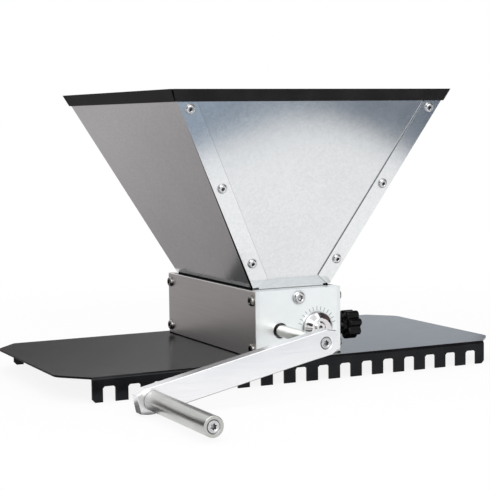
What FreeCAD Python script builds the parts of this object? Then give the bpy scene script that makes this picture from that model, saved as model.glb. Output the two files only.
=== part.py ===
"""Hand cranked malt mill: two knurled rollers under a sheet metal hopper, on a comb edged base plate.

X runs along the base plate, Y along the rollers (the crank is at -Y), Z is up.
The base plate stands on its teeth at Z = 0 and the mill body is centred on X = Y = 0.
"""
import FreeCAD, Part
import math
import os
import re
import Sketcher
from FreeCAD import Placement, Rotation, Vector

# Driving sizes in millimetres and degrees, kept in the spreadsheet
SIZES = {
    # base plate, bent from one sheet
    "side_reach": 13.75, "base_height": 23.5, "base_sheet": 2, "bend_inside": 1, "base_shift": 5,
    "comb_pitch": 25, "notch_count": 17, "notch_width": 12.5, "notch_depth": 14.5, "notch_bevel": 1.8,
    "end_tooth": 10.5, "tooth_bevel": 3, "corner_long": 25, "corner_deep": 30.5, "corner_round": 16,
    "outlet_end_inset": 3.75, "outlet_side_inset": 7.5,
    # mill body
    "body_len": 215.5, "body_width": 95, "body_height": 66.5, "plate_thick": 15, "cover_thick": 4,
    "axis_rise": 26.5, "axis_spread": 41, "edge_break": 0.6,
    # rollers and their shafts
    "roller_dia": 38, "roller_end_gap": 0.75, "flute_count": 44, "flute_depth": 0.9,
    "shaft_dia": 12, "shaft_hole": 15.6, "bearing_dia": 28, "bearing_wide": 8, "race_dia": 16.8,
    "axle_dia": 12, "centre_hole": 4, "running_gap": 0.05,
    # gap adjustment
    "drum_dia": 33, "drum_len": 16, "drum_bevel": 4, "drum_gap": 0.3, "journal_dia": 26,
    "throw": 2.5, "throw_rest": 45, "mark_count": 13, "mark_arc": 150, "mark_len": 4, "mark_wide": 0.5,
    "mark_deep": 0.3,
    # lock knobs
    "knob_dia": 29.5, "knob_thick": 14.5, "knob_hub": 18, "knob_neck": 4, "knob_stand": 3, "lobe_count": 7,
    "lobe_cut": 9, "stud_dia": 8, "stud_reach": 12, "stud_tip_gap": 0.3,
    # hopper
    "throat_side_gap": 0.3, "hopper_gap": 2, "hopper_height": 191.5, "hopper_top_x": 296,
    "hopper_top_y": 296, "hopper_sheet": 1.5, "seam_wide": 19.4, "seam_cut": 9, "skirt_deep": 9,
    "tongue_deep": 18.5, "tongue_wide": 72, "seam_bolt_low": 25, "bolt_trim_gap": 2,
    "trim_high": 11.5, "trim_wall": 1.6, "trim_corner_gap": 1.4, "trim_mitre_gap": 0.05,
    # crank and grip
    "crank_reach": 177, "crank_rest": 12, "crank_front": 200, "arm_wide": 24, "arm_thick": 12,
    "arm_hub_end": 13, "arm_grip_end": 14.2, "arm_cut_long": 9, "arm_cut_deep": 3.5, "tang_deep": 4,
    "tang_wide": 10, "grip_dia": 18.2, "grip_len": 125, "grip_gap": 0.5, "grip_bevel": 0.8,
    # screws
    "m5_dia": 5, "m5_head": 9.2, "m5_head_high": 2.7, "m5_key": 3, "m5_nut": 8, "m5_nut_high": 4,
    "m6_dia": 6, "m6_head": 10.5, "m6_head_high": 3.3, "m6_key": 4, "m6_flat_head": 12.4,
    "m8_dia": 8, "m8_head": 14, "m8_head_high": 4.4, "m8_key": 5, "m8_nut": 13, "m8_nut_high": 6.5,
    "hole_gap": 0.2, "cover_screw_inset": 9.5, "hopper_screw_drop": 8.5, "base_screw_x": 24,
}

# Lengths worked out from the driving sizes, as text that bind() expands
WORKED = {
    "comb_len": "comb_pitch * (notch_count - 1)",
    "flange_len": "comb_len + notch_width + 2 * end_tooth",
    "base_len": "flange_len + 2 * corner_long",
    "base_depth": "body_len + 2 * side_reach",
    "corner_side": "base_depth / 2 - corner_deep",
    "bend_outside": "bend_inside + base_sheet",
    "body_top": "base_height + body_height",
    "plate_wide": "body_width - 2 * cover_thick",
    "chamber_len": "body_len - 2 * plate_thick",
    "outlet_len": "chamber_len - 2 * outlet_end_inset",
    "outlet_width": "plate_wide - 2 * outlet_side_inset",
    "axis_z": "base_height + axis_rise",
    "roller_len": "chamber_len - 2 * roller_end_gap",
    "idle_x": "axis_spread / 2 - throw * cos(throw_rest)",
    "idle_z": "axis_z + throw * sin(throw_rest)",
    "plate_mid_y": "body_len / 2 - plate_thick / 2",
    "hopper_low": "body_top + hopper_gap",
    "hopper_high": "hopper_low + hopper_height",
    "seam_bolt_high": "trim_high - trim_wall + bolt_trim_gap + m5_head / 2",
    "seam_bolt_pitch": "(hopper_height - seam_bolt_low - seam_bolt_high) / 2",
    "throat_x": "plate_wide / 2 - throat_side_gap",
    "slope_x": "(hopper_top_x / 2 - throat_x) / hopper_height",
    "stretch_x": "sqrt(1 + slope_x ^ 2)",
    "throat_y": "chamber_len / 2 - throat_side_gap + hopper_sheet",
    "slope_y": "(hopper_top_y / 2 - throat_y) / hopper_height",
    "stretch_y": "sqrt(1 + slope_y ^ 2)",
    "grip_x": "0 - axis_spread / 2 - crank_reach * cos(crank_rest)",
    "grip_z": "axis_z - crank_reach * sin(crank_rest)",
    "knob_start": "body_width / 2 + knob_stand",
    "hopper_screw_z": "body_top - hopper_screw_drop",
}

doc = FreeCAD.newDocument("MaltMill")
sheet = doc.addObject("Spreadsheet::Sheet", "sheet")
for row, (alias, size) in enumerate(SIZES.items(), start=1):
    sheet.set(f"A{row}", alias)
    sheet.set(f"B{row}", str(size))
    sheet.setAlias(f"B{row}", alias)
doc.recompute()


def bind(text):
    """Turn a formula over the names above into one over the spreadsheet's cells."""
    def swap(match):
        name = match.group(0)
        if name in WORKED:
            return "(" + bind(WORKED[name]) + ")"
        return "sheet." + name if name in SIZES else name
    return re.sub(r"[a-z_][a-z_0-9]*", swap, text)


def drive(item, **formulas):
    """Bind properties of an item; a double underscore in a key stands for a dot."""
    for key, text in formulas.items():
        item.setExpression(key.replace("__", "."), bind(text))
    return item


def place(item, x="0", y="0", z="0", axis=None, angle="0"):
    """Put an item at x, y, z, turned by an angle about an axis."""
    if axis:
        item.Placement = Placement(Vector(), Rotation(Vector(*axis), 1))
        drive(item, Placement__Rotation__Angle=angle)
    return drive(item, Placement__Base__x=x, Placement__Base__y=y, Placement__Base__z=z)


def new_body(label):
    body = doc.addObject("PartDesign::Body", label)
    body.Label = label
    return body


def origin_item(body, role):
    return next(item for item in body.Origin.OriginFeatures if item.Role == role)


def new_sketch(body, plane, lift="0", right="0", up="0", turn="0"):
    """Add a sketch on an origin plane, lifted along its normal, shifted and turned within it."""
    sketch = body.newObject("Sketcher::SketchObject", "sketch")
    sketch.AttachmentSupport = [(origin_item(body, plane), "")]
    sketch.MapMode = "FlatFace"
    if turn != "0":
        sketch.AttachmentOffset = Placement(Vector(), Rotation(Vector(0, 0, 1), 1))
        drive(sketch, AttachmentOffset__Rotation__Angle=turn)
    return drive(sketch, AttachmentOffset__Base__x=right, AttachmentOffset__Base__y=up,
                 AttachmentOffset__Base__z=lift)


def value(sketch, text):
    """Work out a formula as a plain number of millimetres or degrees."""
    result = sketch.evalExpression(bind(text))
    return float(getattr(result, "Value", result))


def pin_point(sketch, shape, point, x, y):
    """Hold a point of a sketch at x, y from the sketch's origin."""
    for kind, text in (("DistanceX", x), ("DistanceY", y)):
        number = sketch.addConstraint(
            Sketcher.Constraint(kind, -1, 1, shape, point, value(sketch, text)))
        sketch.setExpression(f"Constraints[{number}]", bind(text))


def draw_outline(sketch, corners):
    """Draw a closed polygon whose corners are pairs of formulas."""
    spots = [Vector(value(sketch, x), value(sketch, y), 0) for x, y in corners]
    first = sketch.GeometryCount
    count = len(spots)
    for number in range(count):
        sketch.addGeometry(Part.LineSegment(spots[number], spots[(number + 1) % count]))
    for number in range(count):
        follower = first + (number + 1) % count
        sketch.addConstraint(Sketcher.Constraint("Coincident", first + number, 2, follower, 1))
    for number, (x, y) in enumerate(corners):
        pin_point(sketch, first + number, 1, x, y)
    return sketch


def draw_box(sketch, x_low, x_high, y_low, y_high):
    return draw_outline(sketch, [(x_low, y_low), (x_high, y_low), (x_high, y_high), (x_low, y_high)])


def draw_circle(sketch, dia, x="0", y="0"):
    centre = Vector(value(sketch, x), value(sketch, y), 0)
    shape = sketch.addGeometry(Part.Circle(centre, Vector(0, 0, 1), value(sketch, dia) / 2))
    pin_point(sketch, shape, 3, x, y)
    number = sketch.addConstraint(Sketcher.Constraint("Diameter", shape, value(sketch, dia)))
    sketch.setExpression(f"Constraints[{number}]", bind(dia))
    return sketch


def draw_hexagon(sketch, across):
    """Draw a regular hexagon around the sketch's origin by its width across flats."""
    corners = [(f"{across} / sqrt(3) * cos({angle})", f"{across} / sqrt(3) * sin({angle})")
               for angle in range(0, 360, 60)]
    return draw_outline(sketch, corners)


def pad(body, sketch, length, both=False, back=False):
    feature = body.newObject("PartDesign::Pad", "pad")
    feature.Profile = sketch
    feature.Midplane = both
    feature.Reversed = back
    return drive(feature, Length=length)


def pocket(body, sketch, depth=None, both=False, back=False):
    """Cut a sketch away from its normal, or along it with back; no depth cuts through all."""
    feature = body.newObject("PartDesign::Pocket", "pocket")
    feature.Profile = sketch
    feature.Midplane = both
    feature.Reversed = back
    if depth is None:
        feature.Type = "ThroughAll"
        return feature
    return drive(feature, Length=depth)


def turned(body, sketch, kind="PartDesign::Revolution", axis="H_Axis"):
    feature = body.newObject(kind, "turned")
    feature.Profile = sketch
    feature.ReferenceAxis = (sketch, [axis])
    feature.Angle = 360
    return feature


def row_of(body, feature, role, length, count):
    """Repeat a feature in a row along an origin axis."""
    row = body.newObject("PartDesign::LinearPattern", "row")
    row.Originals = [feature]
    row.Direction = (origin_item(body, role), [""])
    drive(row, Length=length, Occurrences=count)
    body.Tip = row
    return row


def round_of(body, feature, sketch, count, angle="360"):
    """Repeat a feature about the normal through its sketch's origin."""
    ring = body.newObject("PartDesign::PolarPattern", "ring")
    ring.Originals = [feature]
    ring.Axis = (sketch, ["N_Axis"])
    drive(ring, Angle=angle, Occurrences=count)
    body.Tip = ring
    return ring


def mirror_of(body, features, plane):
    mirror = body.newObject("PartDesign::Mirrored", "mirror")
    mirror.Originals = features
    mirror.MirrorPlane = (origin_item(body, plane), [""])
    body.Tip = mirror
    return mirror


def edge_names(feature, wanted):
    """Name the edges of a feature whose middle point and ends pass a test."""
    doc.recompute()
    names = []
    for number, edge in enumerate(feature.Shape.Edges, start=1):
        middle = edge.valueAt((edge.FirstParameter + edge.LastParameter) / 2)
        if wanted(middle, edge):
            names.append(f"Edge{number}")
    return names


def soften(body, feature, wanted, size, kind="PartDesign::Fillet"):
    """Fillet or chamfer the edges of a feature that pass a test."""
    names = edge_names(feature, wanted)
    softened = body.newObject(kind, "softened")
    softened.Base = (feature, names)
    drive(softened, **{"Radius" if kind.endswith("Fillet") else "Size": size})
    body.Tip = softened
    return softened


def near(first, second):
    return abs(first - second) < 1e-3


# Base plate with its comb flanges
def make_base_plate():
    body = new_body("base_plate")
    shift = "0 - base_shift"
    profile = new_sketch(body, "YZ_Plane", lift=shift)
    outer, inner = "base_depth / 2", "base_depth / 2 - base_sheet"
    under = "base_height - base_sheet"
    draw_outline(profile, [
        (outer, "0"), (outer, "base_height"), ("0 - " + outer, "base_height"), ("0 - " + outer, "0"),
        ("base_sheet - base_depth / 2", "0"), ("base_sheet - base_depth / 2", under),
        (inner, under), (inner, "0")])
    channel = pad(body, profile, "flange_len", both=True)
    top = value(profile, "base_height")
    side = value(profile, "base_depth / 2")
    thick = value(profile, "base_sheet")
    middle_x = value(profile, shift)
    bent = soften(body, channel, lambda at, edge: near(abs(at.y), side) and near(at.z, top)
                  and near(at.x, middle_x), "bend_outside")
    bent = soften(body, bent, lambda at, edge: near(abs(at.y), side - thick) and near(at.z, top - thick)
                  and near(at.x, middle_x), "bend_inside")
    soften(body, bent, lambda at, edge: near(at.z, 0) and near(abs(at.y), side - thick / 2), "tooth_bevel",
           "PartDesign::Chamfer")
    plan = new_sketch(body, "XY_Plane", lift="base_height", right=shift)
    end_x, flange_x = "base_len / 2", "flange_len / 2"
    flat_y = "(base_depth / 2 - bend_outside)"
    draw_outline(plan, [
        (end_x, "corner_side"), (flange_x, flat_y), ("0 - " + flange_x, flat_y),
        ("0 - " + end_x, "corner_side"), ("0 - " + end_x, "0 - corner_side"),
        ("0 - " + flange_x, "0 - " + flat_y), (flange_x, "0 - " + flat_y),
        (end_x, "0 - corner_side")])
    top_sheet = pad(body, plan, "base_sheet", back=True)
    end_at, corner_at = value(plan, end_x), value(plan, "corner_side")
    soften(body, top_sheet, lambda at, edge: near(abs(at.x - middle_x), end_at)
           and near(abs(at.y), corner_at), "corner_round")
    outlet = new_sketch(body, "XY_Plane", lift="base_height")
    draw_box(outlet, "0 - outlet_width / 2", "outlet_width / 2", "0 - outlet_len / 2", "outlet_len / 2")
    pocket(body, outlet, "2 * base_sheet")
    holes = new_sketch(body, "XY_Plane", lift="base_height")
    for x in ("0 - base_screw_x", "base_screw_x"):
        for y in ("0 - plate_mid_y", "plate_mid_y"):
            draw_circle(holes, "m6_dia + 2 * hole_gap", x, y)
    pocket(body, holes, "2 * base_sheet")
    notch = new_sketch(body, "XZ_Plane", right=shift)
    middle = "0 - comb_len / 2"
    left, right = f"{middle} - notch_width / 2", f"{middle} + notch_width / 2"
    draw_outline(notch, [
        (left, "0 - base_sheet"), (right, "0 - base_sheet"), (right, "notch_depth - notch_bevel"),
        (right + " - notch_bevel", "notch_depth"), (left + " + notch_bevel", "notch_depth"),
        (left, "notch_depth - notch_bevel")])
    cut = pocket(body, notch, "2 * base_depth", both=True)
    row_of(body, cut, "X_Axis", "comb_len", "notch_count")
    return body


# Thick end plates that carry the rollers; hand is 1 for the crank's end and -1 for the far end
def make_end_plate(label, hand):
    body = new_body(label)
    blank = new_sketch(body, "XZ_Plane")
    draw_box(blank, "0 - plate_wide / 2", "plate_wide / 2", "base_height", "body_top")
    pad(body, blank, "plate_thick", back=True)
    drive_x, idle_x = f"0 - {hand} * axis_spread / 2", f"{hand} * axis_spread / 2"
    bores = new_sketch(body, "XZ_Plane")
    draw_circle(bores, "shaft_hole", drive_x, "axis_z")
    draw_circle(bores, "journal_dia + 2 * running_gap", idle_x, "axis_z")
    draw_circle(bores, "m8_dia + 2 * hole_gap", "0", "hopper_screw_z")
    pocket(body, bores, "2 * plate_thick")
    seat = new_sketch(body, "XZ_Plane", lift="0 - plate_thick")
    draw_circle(seat, "bearing_dia", drive_x, "axis_z")
    pocket(body, seat, "bearing_wide", back=True)
    side_holes = new_sketch(body, "YZ_Plane", lift="plate_wide / 2")
    for z in ("base_height + cover_screw_inset", "body_top - cover_screw_inset"):
        draw_circle(side_holes, "m6_dia + hole_gap", "plate_thick / 2", z)
    taps = pocket(body, side_holes, "plate_thick")
    mirror_of(body, [taps], "YZ_Plane")
    lock_hole = new_sketch(body, "YZ_Plane", lift=f"{hand} * plate_wide / 2")
    draw_circle(lock_hole, "stud_dia + 2 * running_gap", "plate_thick / 2", "axis_z")
    pocket(body, lock_hole, "(plate_wide - axis_spread) / 2", back=hand < 0)
    foot_holes = new_sketch(body, "XY_Plane", lift="base_height")
    for x in ("0 - base_screw_x", "base_screw_x"):
        draw_circle(foot_holes, "m6_dia + hole_gap", x, "plate_thick / 2")
    pocket(body, foot_holes, "2 * m6_dia", back=True)
    mark = new_sketch(body, "XZ_Plane", right=idle_x, up="axis_z", turn="90 - mark_arc / 2")
    draw_box(mark, "drum_dia / 2 + 1", "drum_dia / 2 + 1 + mark_len", "0 - mark_wide / 2", "mark_wide / 2")
    engraved = pocket(body, mark, "mark_deep")
    round_of(body, engraved, mark, "mark_count", "mark_arc")
    turn = "0" if hand > 0 else "180"
    return place(body, y=f"0 - {hand} * body_len / 2", axis=(0, 0, 1), angle=turn)


# Side covers; side is -1 on the left and 1 on the right, where the lock studs pass
def make_side_cover(label, side):
    body = new_body(label)
    blank = new_sketch(body, "YZ_Plane")
    draw_box(blank, "0 - body_len / 2", "body_len / 2", "base_height", "body_top")
    slab = pad(body, blank, "cover_thick", back=side > 0)
    holes = new_sketch(body, "YZ_Plane")
    for y in ("0 - plate_mid_y", "plate_mid_y"):
        for z in ("base_height + cover_screw_inset", "body_top - cover_screw_inset"):
            draw_circle(holes, "m6_dia + 2 * hole_gap", y, z)
        if side > 0:
            draw_circle(holes, "stud_dia + 1", y, "axis_z")
    pierced = pocket(body, holes, "4 * cover_thick", both=True)
    soften(body, pierced, lambda at, edge: near(at.x, 0) and len(edge.Vertexes) == 2, "edge_break",
           "PartDesign::Chamfer")
    return place(body, x=f"{side} * body_width / 2")


# Screws and nuts; the head looks along +Z and its seat is at the origin
def make_button_screw(label, size, length):
    body = new_body(label)
    profile = new_sketch(body, "XZ_Plane")
    head, high = f"{size}_head / 2", f"{size}_head_high"
    draw_outline(profile, [
        ("0", f"0 - ({length})"), (f"{size}_dia / 2", f"0 - ({length})"), (f"{size}_dia / 2", "0"),
        (head, "0"), (head, f"{high} * 0.35"), (f"{head} * 0.68", high), ("0", high)])
    turned(body, profile, axis="V_Axis")
    socket = new_sketch(body, "XY_Plane", lift=high)
    draw_hexagon(socket, f"{size}_key")
    pocket(body, socket, f"{high} * 0.7")
    return body


def make_flat_screw(label, length):
    """An M6 screw with a countersunk head whose top is at the origin."""
    body = new_body(label)
    profile = new_sketch(body, "XZ_Plane")
    draw_outline(profile, [
        ("0", f"0 - ({length})"), ("m6_dia / 2", f"0 - ({length})"),
        ("m6_dia / 2", "0 - (m6_flat_head - m6_dia) / 2"), ("m6_flat_head / 2", "0"), ("0", "0")])
    turned(body, profile, axis="V_Axis")
    socket = new_sketch(body, "XY_Plane")
    draw_hexagon(socket, "m6_key")
    pocket(body, socket, "m6_dia / 3")
    return body


def make_nut(label, size):
    body = new_body(label)
    blank = new_sketch(body, "XY_Plane")
    draw_hexagon(blank, f"{size}_nut")
    draw_circle(blank, f"{size}_dia + hole_gap")
    pad(body, blank, f"{size}_nut_high", back=True)
    return body


def scatter(label, master, spots):
    """Repeat a master piece at spots (x, y, z, axis, angle) as one labelled group of solids."""
    copies = []
    for x, y, z, axis, angle in spots:
        copy = doc.addObject("App::Link", label + "_copy")
        copy.LinkedObject = master
        copies.append(place(copy, x, y, z, axis, angle))
    group = doc.addObject("Part::Compound", label)
    group.Links = copies
    group.Label = label
    return group


# Hopper walls; a frustum of the hopper at height z has these half sizes, inset by so many sheets
def wall_x(z, inset="0"):
    return f"(throat_x + (({z}) - hopper_low) * slope_x - ({inset}) * stretch_x)"


def wall_y(z, inset="0"):
    return f"(throat_y + (({z}) - hopper_low) * slope_y - ({inset}) * stretch_y)"


def make_wedge(name, z_low, z_high, x_low, x_high, y_low, y_high):
    """Make a six sided block between two heights from its x and y ranges at each height."""
    wedge = doc.addObject("Part::Wedge", name)
    wedge.Placement = Placement(Vector(), Rotation(Vector(1, 0, 0), 90))
    return drive(
        wedge, Ymin=z_low, Ymax=z_high, Xmin=x_low[0], Xmax=x_low[1], X2min=x_high[0],
        X2max=x_high[1], Zmin=f"0 - ({y_low[1]})", Zmax=f"0 - ({y_low[0]})",
        Z2min=f"0 - ({y_high[1]})", Z2max=f"0 - ({y_high[0]})")


def join(label, kind, first, others):
    """Cut or intersect a shape with another, or fuse several."""
    result = doc.addObject(kind, label)
    if kind == "Part::MultiFuse":
        result.Shapes = [first] + others
    else:
        result.Base, result.Tool = first, others[0]
    result.Refine = True
    result.Label = label
    return result


def signed(side, low, high):
    """Order a range that lies between low and high from the middle, on the given side."""
    return (low, high) if side > 0 else (f"0 - {high}", f"0 - {low}")


def seam_spots(side_y, depth):
    """Bolt places on one end wall, each at a depth in from the outer face of the flanges."""
    spots = []
    for side_x in (-1, 1):
        for number in range(3):
            z = f"hopper_low + seam_bolt_low + {number} * seam_bolt_pitch"
            x = f"{side_x} * ({wall_x(z)} - seam_wide / 2)"
            y = f"{side_y} * ({wall_y(z)} - ({depth}) / stretch_y)"
            lifted = f"{z} + ({depth}) * slope_y / stretch_y"
            spots.append((x, y, lifted, (1, 0, 0), f"{-side_y} * (90 deg + atan(slope_y))"))
    return spots


def make_bolt_holes():
    pin = doc.addObject("Part::Cylinder", "seam_pin")
    drive(pin, Radius="m5_dia / 2 + hole_gap / 2", Height="8 * hopper_sheet")
    centred = "4 * hopper_sheet"
    spots = seam_spots(-1, centred) + seam_spots(1, centred)
    return scatter("seam_pins", pin, spots)


def make_side_wall(label, side, holes):
    outer, inner = wall_x("hopper_low"), wall_x("hopper_low", "hopper_sheet")
    outer_top, inner_top = wall_x("hopper_high"), wall_x("hopper_high", "hopper_sheet")
    full_low, full_top = wall_y("hopper_low"), wall_y("hopper_high")
    parts = [make_wedge(
        label + "_sheet", "hopper_low", "hopper_high", signed(side, inner, outer),
        signed(side, inner_top, outer_top), ("0 - " + full_low, full_low), ("0 - " + full_top, full_top))]
    cut_z = "hopper_low + seam_cut"
    slim_low = f"({outer} - 2 * hopper_sheet)"
    wide_mid, wide_top = f"({wall_x(cut_z)} - seam_wide)", f"({outer_top} - seam_wide)"
    for end in (-1, 1):
        flat_low = signed(end, wall_y("hopper_low", "hopper_sheet"), full_low)
        flat_mid = signed(end, wall_y(cut_z, "hopper_sheet"), wall_y(cut_z))
        flat_top = signed(end, wall_y("hopper_high", "hopper_sheet"), full_top)
        parts.append(make_wedge(
            label + "_flange_foot", "hopper_low", cut_z, signed(side, slim_low, outer),
            signed(side, wide_mid, wall_x(cut_z)), flat_low, flat_mid))
        parts.append(make_wedge(
            label + "_flange", cut_z, "hopper_high", signed(side, wide_mid, wall_x(cut_z)),
            signed(side, wide_top, outer_top), flat_mid, flat_top))
    skirt_x = signed(side, "(throat_x - hopper_sheet)", "throat_x")
    skirt_y = ("0 - (throat_y - 3 * hopper_sheet)", "throat_y - 3 * hopper_sheet")
    parts.append(make_wedge(label + "_skirt", "hopper_low - skirt_deep", "hopper_low", skirt_x, skirt_x,
                            skirt_y, skirt_y))
    folded = join(label + "_folded", "Part::MultiFuse", parts[0], parts[1:])
    return join(label, "Part::Cut", folded, [holes])


def make_end_wall(label, side, holes, screw_hole):
    x_low, x_top = wall_x("hopper_low", "hopper_sheet"), wall_x("hopper_high", "hopper_sheet")
    inner, outer = "2 * hopper_sheet", "hopper_sheet"
    sheet_low = signed(side, wall_y("hopper_low", inner), wall_y("hopper_low", outer))
    sheet_top = signed(side, wall_y("hopper_high", inner), wall_y("hopper_high", outer))
    panel = make_wedge(label + "_sheet", "hopper_low", "hopper_high", ("0 - " + x_low, x_low),
                       ("0 - " + x_top, x_top), sheet_low, sheet_top)
    tongue_x = ("0 - tongue_wide / 2", "tongue_wide / 2")
    tongue_y = signed(side, "(throat_y - 2 * hopper_sheet)", "(throat_y - hopper_sheet)")
    tongue = make_wedge(label + "_tongue", "hopper_low - tongue_deep", "hopper_low", tongue_x, tongue_x,
                        tongue_y, tongue_y)
    folded = join(label + "_folded", "Part::MultiFuse", panel, [tongue])
    bolted = join(label + "_bolted", "Part::Cut", folded, [holes])
    return join(label, "Part::Cut", bolted, [screw_hole])


def make_trims():
    """Black edge trim: a channel over the rim, cut into four strips that leave one corner open."""
    low, high = "hopper_high - trim_high + trim_wall", "hopper_high + trim_wall"
    under, over = "hopper_low", "hopper_high + 2 * trim_wall"

    def block(name, z_low, z_high, inset):
        x_low, x_high = wall_x(z_low, inset), wall_x(z_high, inset)
        y_low, y_high = wall_y(z_low, inset), wall_y(z_high, inset)
        return make_wedge(name, z_low, z_high, ("0 - " + x_low, x_low), ("0 - " + x_high, x_high),
                          ("0 - " + y_low, y_low), ("0 - " + y_high, y_high))

    outside = block("trim_outside", low, high, "0 - trim_wall")
    inside = block("trim_inside", under, over, "2 * hopper_sheet + trim_wall")
    walls = block("trim_walls", under, "hopper_high", "0")
    mouth = block("trim_mouth", under, over, "2 * hopper_sheet")
    wall_ring = join("trim_wall_ring", "Part::Cut", walls, [mouth])
    ring = join("trim_ring", "Part::Cut", outside, [inside])
    channel = join("trim_channel", "Part::Cut", ring, [wall_ring])
    trims = []
    along_x, along_y = ("hopper_top_x", "hopper_top_y"), ("hopper_top_y", "hopper_top_x")
    closed, opened = "trim_mitre_gap", "trim_corner_gap"
    for label, angle, (along, across), (first, last) in (
            ("rim_trim_near", 0, along_x, (opened, closed)),
            ("rim_trim_right", 90, along_y, (closed, closed)),
            ("rim_trim_far", 180, along_x, (closed, closed)),
            ("rim_trim_left", 270, along_y, (closed, opened))):
        strip = doc.addObject("Part::Wedge", label + "_slice")
        strip.Placement = Placement(Vector(), Rotation(Vector(0, 0, 1), angle))
        drive(strip, Ymin=f"0 - {across}", Ymax=f"0 - {across} / 4", Zmin="0", Zmax="2 * hopper_high",
              Z2min="0", Z2max="2 * hopper_high", Xmin=f"{first} - {along}", Xmax=f"{along} - {last}",
              X2min=f"{first} - {along} / 4", X2max=f"{along} / 4 - {last}")
        trims.append(join(label, "Part::Common", channel, [strip]))
    return trims


# Drive side: bearings, shaft, roller and crank turn about one axis
def make_bearings():
    outer = new_body("bearing_outer_master")
    ring = new_sketch(outer, "XZ_Plane")
    draw_circle(ring, "bearing_dia")
    draw_circle(ring, "race_dia + 2 * running_gap")
    pad(outer, ring, "bearing_wide", both=True)
    inner = new_body("bearing_inner_master")
    race = new_sketch(inner, "XZ_Plane")
    draw_circle(race, "race_dia")
    draw_circle(race, "shaft_dia")
    pad(inner, race, "bearing_wide", both=True)
    offset = "(chamber_len / 2 + bearing_wide / 2)"
    spots = [("0 - axis_spread / 2", f"{end} * {offset}", "axis_z", (0, 0, 1), "0") for end in (-1, 1)]
    scatter("bearing_outer_rings", outer, spots)
    scatter("bearing_inner_rings", inner, spots)


def make_roller(label, bore, x, z):
    body = new_body(label)
    blank = new_sketch(body, "XZ_Plane")
    draw_circle(blank, "roller_dia")
    draw_circle(blank, bore)
    pad(body, blank, "roller_len", both=True)
    flute = new_sketch(body, "XZ_Plane")
    rim = "roller_dia / 2"
    draw_outline(flute, [(f"{rim} - flute_depth", "0"), (f"{rim} + flute_depth", "0 - 2 * flute_depth"),
                         (f"{rim} + flute_depth", "2 * flute_depth")])
    cut = pocket(body, flute, "2 * roller_len", both=True)
    round_of(body, cut, flute, "flute_count")
    return place(body, x=x, z=z)


def make_drive_shaft():
    body = new_body("drive_shaft")
    start, finish = "crank_front - arm_thick + tang_deep", "body_len / 2 - 2"
    rod = new_sketch(body, "XZ_Plane", lift=start)
    draw_circle(rod, "shaft_dia")
    pad(body, rod, f"{start} + {finish}", back=True)
    flats = new_sketch(body, "XZ_Plane", lift=start)
    draw_box(flats, "0 - shaft_dia", "shaft_dia", "tang_wide / 2", "shaft_dia")
    draw_box(flats, "0 - shaft_dia", "shaft_dia", "0 - shaft_dia", "0 - tang_wide / 2")
    pocket(body, flats, "tang_deep")
    tap = new_sketch(body, "XZ_Plane", lift=start)
    draw_circle(tap, "m6_dia")
    pocket(body, tap, "2.5 * m6_dia")
    return place(body, x="0 - axis_spread / 2", z="axis_z", axis=(0, 1, 0), angle="0 - crank_rest")


def make_crank_arm():
    body = new_body("crank_arm")
    blank = new_sketch(body, "XZ_Plane", lift="crank_front")
    tip, butt, half = "0 - (crank_reach + arm_grip_end)", "arm_hub_end", "arm_wide / 2"
    draw_outline(blank, [
        (butt, f"arm_cut_deep - {half}"), (butt, f"{half} - arm_cut_deep"),
        (f"{butt} - arm_cut_long", half), (f"{tip} + arm_cut_long", half),
        (tip, f"{half} - arm_cut_deep"), (tip, f"arm_cut_deep - {half}"),
        (f"{tip} + arm_cut_long", f"0 - {half}"), (f"{butt} - arm_cut_long", f"0 - {half}")])
    bar = pad(body, blank, "arm_thick", back=True)
    front, back = value(blank, "0 - crank_front"), value(blank, "arm_thick - crank_front")
    soften(body, bar, lambda at, edge: near(at.y, front) or near(at.y, back), "edge_break",
           "PartDesign::Chamfer")
    screw_hole = new_sketch(body, "YZ_Plane")
    outer, shank = "m6_flat_head / 2 + hole_gap", "m6_dia / 2 + hole_gap"
    draw_outline(screw_hole, [
        ("0 - crank_front - 1", "0"), ("0 - crank_front - 1", outer), ("0 - crank_front", outer),
        (f"0 - crank_front + {outer} - {shank}", shank), ("arm_thick - crank_front + 1", shank),
        ("arm_thick - crank_front + 1", "0")])
    turned(body, screw_hole, "PartDesign::Groove")
    tang = new_sketch(body, "XZ_Plane", lift="crank_front - arm_thick")
    draw_box(tang, "0 - shaft_dia / 2", "shaft_dia / 2", "0 - tang_wide / 2", "tang_wide / 2")
    pocket(body, tang, "tang_deep", back=True)
    spindle_hole = new_sketch(body, "XZ_Plane", lift="crank_front")
    draw_circle(spindle_hole, "m6_dia + hole_gap", "0 - crank_reach")
    pocket(body, spindle_hole, "2 * arm_thick")
    return place(body, x="0 - axis_spread / 2", z="axis_z", axis=(0, 1, 0), angle="0 - crank_rest")


def make_grip():
    body = new_body("grip")
    profile = new_sketch(body, "YZ_Plane")
    bore, rim = "m6_dia / 2 + 2 * running_gap", "grip_dia / 2"
    inner_end = "(0 - crank_front - grip_gap)"
    outer_end = f"({inner_end} - grip_len)"
    sink = "m6_flat_head / 2 + 2 * running_gap"
    draw_outline(profile, [
        (inner_end, bore), (inner_end, f"{rim} - grip_bevel"), (f"{inner_end} - grip_bevel", rim),
        (f"{outer_end} + grip_bevel", rim), (outer_end, f"{rim} - grip_bevel"), (outer_end, sink),
        (f"{outer_end} + {sink} - {bore}", bore)])
    turned(body, profile)
    return place(body, x="grip_x", z="grip_z")


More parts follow.
